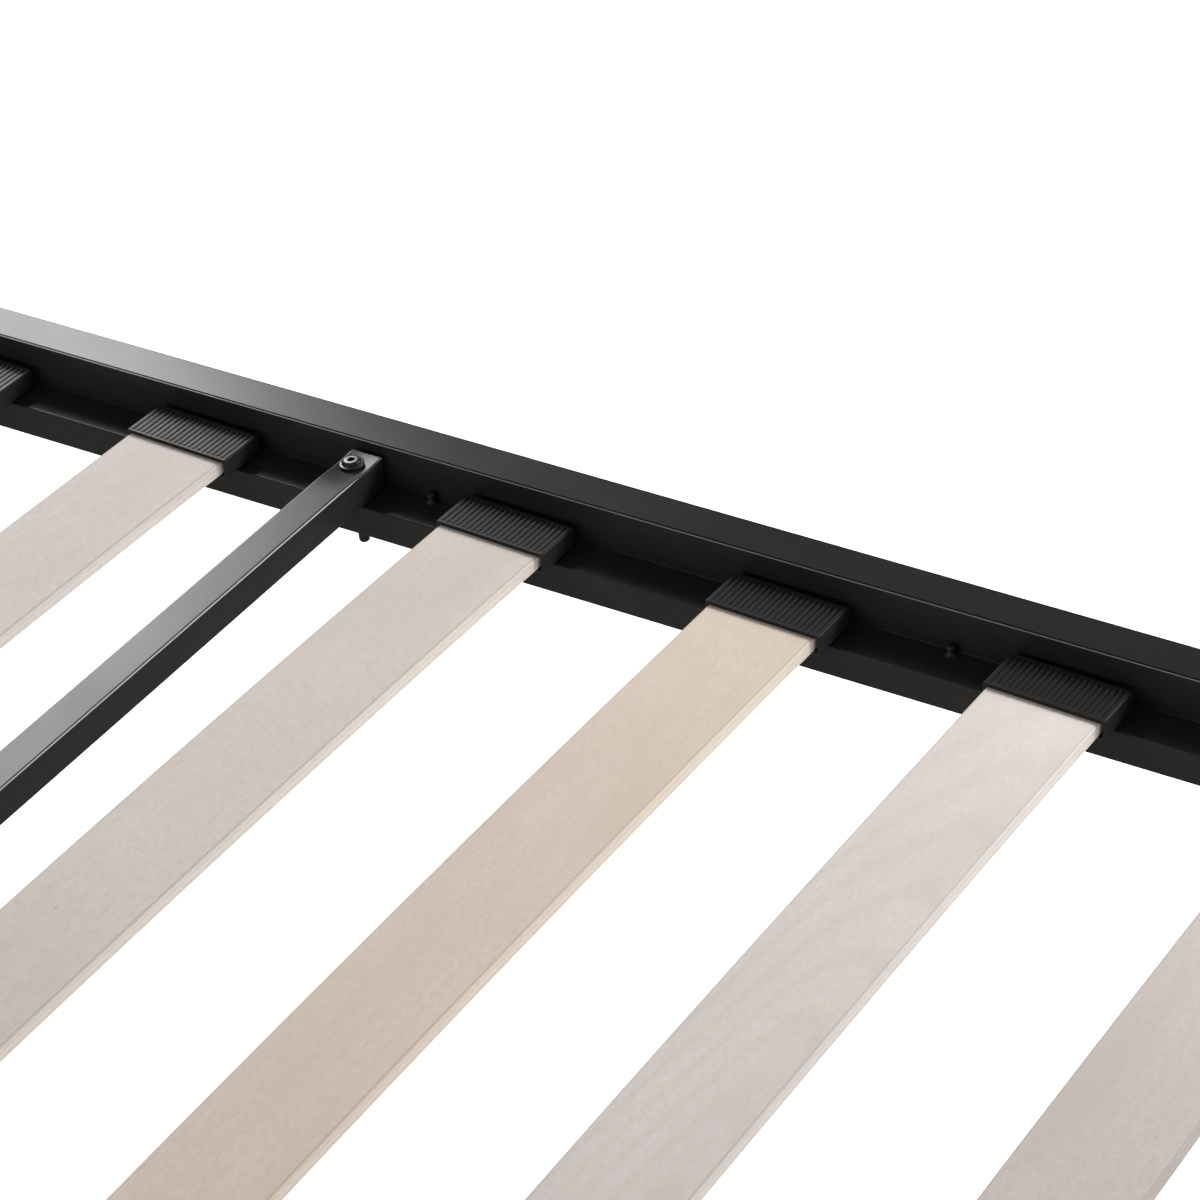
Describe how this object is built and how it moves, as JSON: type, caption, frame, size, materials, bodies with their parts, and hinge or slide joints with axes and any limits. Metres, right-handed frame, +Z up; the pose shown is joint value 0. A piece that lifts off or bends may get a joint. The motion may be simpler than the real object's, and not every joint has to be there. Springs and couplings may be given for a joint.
{
  "type": "metal bed frame",
  "caption": "Low single bed frame of black powder-coated steel with loose bent-plywood slats in ribbed plastic end caps and bolted crossbars.",
  "frame": {"origin": "on the floor under the middle of the bed", "axes": "+X along the bed towards the head, +Y across it towards the left side rail, +Z up"},
  "size_m": [2.071, 0.962, 0.35],
  "materials": {
    "powder_coated_steel": "satin black powder coat with a fine orange peel",
    "black_bolt": "black plated steel, satin",
    "plywood": "pale sanded birch plywood, unvarnished",
    "cap_plastic": "black moulded plastic, satin, ribbed on top",
    "foot_plastic": "black moulded plastic, matt"
  },
  "bodies": {
    "frame": {"corner_bolt_foot_left": "black_bolt", "corner_bolt_foot_right": "black_bolt", "corner_bolt_head_left": "black_bolt", "corner_bolt_head_right": "black_bolt", "crossbar_bolt_foot_left": "black_bolt", "crossbar_bolt_foot_right": "black_bolt", "crossbar_bolt_head_left": "black_bolt", "crossbar_bolt_head_right": "black_bolt", "crossbar_foot": "powder_coated_steel", "crossbar_head": "powder_coated_steel", "foot_foot_left": "foot_plastic", "foot_foot_right": "foot_plastic", "foot_head_left": "foot_plastic", "foot_head_right": "foot_plastic", "foot_rail": "powder_coated_steel", "head_rail": "powder_coated_steel", "leg_foot_left": "powder_coated_steel", "leg_foot_right": "powder_coated_steel", "leg_head_left": "powder_coated_steel", "leg_head_right": "powder_coated_steel", "side_rail_left": "powder_coated_steel", "side_rail_right": "powder_coated_steel"},
    "slat_set_01": {"cap_01_left": "cap_plastic", "cap_01_right": "cap_plastic", "slat_01": "plywood"},
    "slat_set_02": {"cap_02_left": "cap_plastic", "cap_02_right": "cap_plastic", "slat_02": "plywood"},
    "slat_set_03": {"cap_03_left": "cap_plastic", "cap_03_right": "cap_plastic", "slat_03": "plywood"},
    "slat_set_04": {"cap_04_left": "cap_plastic", "cap_04_right": "cap_plastic", "slat_04": "plywood"},
    "slat_set_05": {"cap_05_left": "cap_plastic", "cap_05_right": "cap_plastic", "slat_05": "plywood"},
    "slat_set_06": {"cap_06_left": "cap_plastic", "cap_06_right": "cap_plastic", "slat_06": "plywood"},
    "slat_set_07": {"cap_07_left": "cap_plastic", "cap_07_right": "cap_plastic", "slat_07": "plywood"},
    "slat_set_08": {"cap_08_left": "cap_plastic", "cap_08_right": "cap_plastic", "slat_08": "plywood"},
    "slat_set_09": {"cap_09_left": "cap_plastic", "cap_09_right": "cap_plastic", "slat_09": "plywood"},
    "slat_set_10": {"cap_10_left": "cap_plastic", "cap_10_right": "cap_plastic", "slat_10": "plywood"},
    "slat_set_11": {"cap_11_left": "cap_plastic", "cap_11_right": "cap_plastic", "slat_11": "plywood"},
    "slat_set_12": {"cap_12_left": "cap_plastic", "cap_12_right": "cap_plastic", "slat_12": "plywood"}
  },
  "joints": [
    {"name": "slat_01_lift", "type": "slide", "parent": "frame", "child": "slat_set_01", "axis": [0, 0, 1], "range_m": [0, 0.08]},
    {"name": "slat_02_lift", "type": "slide", "parent": "frame", "child": "slat_set_02", "axis": [0, 0, 1], "range_m": [0, 0.08]},
    {"name": "slat_03_lift", "type": "slide", "parent": "frame", "child": "slat_set_03", "axis": [0, 0, 1], "range_m": [0, 0.08]},
    {"name": "slat_04_lift", "type": "slide", "parent": "frame", "child": "slat_set_04", "axis": [0, 0, 1], "range_m": [0, 0.08]},
    {"name": "slat_05_lift", "type": "slide", "parent": "frame", "child": "slat_set_05", "axis": [0, 0, 1], "range_m": [0, 0.08]},
    {"name": "slat_06_lift", "type": "slide", "parent": "frame", "child": "slat_set_06", "axis": [0, 0, 1], "range_m": [0, 0.08]},
    {"name": "slat_07_lift", "type": "slide", "parent": "frame", "child": "slat_set_07", "axis": [0, 0, 1], "range_m": [0, 0.08]},
    {"name": "slat_08_lift", "type": "slide", "parent": "frame", "child": "slat_set_08", "axis": [0, 0, 1], "range_m": [0, 0.08]},
    {"name": "slat_09_lift", "type": "slide", "parent": "frame", "child": "slat_set_09", "axis": [0, 0, 1], "range_m": [0, 0.08]},
    {"name": "slat_10_lift", "type": "slide", "parent": "frame", "child": "slat_set_10", "axis": [0, 0, 1], "range_m": [0, 0.08]},
    {"name": "slat_11_lift", "type": "slide", "parent": "frame", "child": "slat_set_11", "axis": [0, 0, 1], "range_m": [0, 0.08]},
    {"name": "slat_12_lift", "type": "slide", "parent": "frame", "child": "slat_set_12", "axis": [0, 0, 1], "range_m": [0, 0.08]}
  ]
}
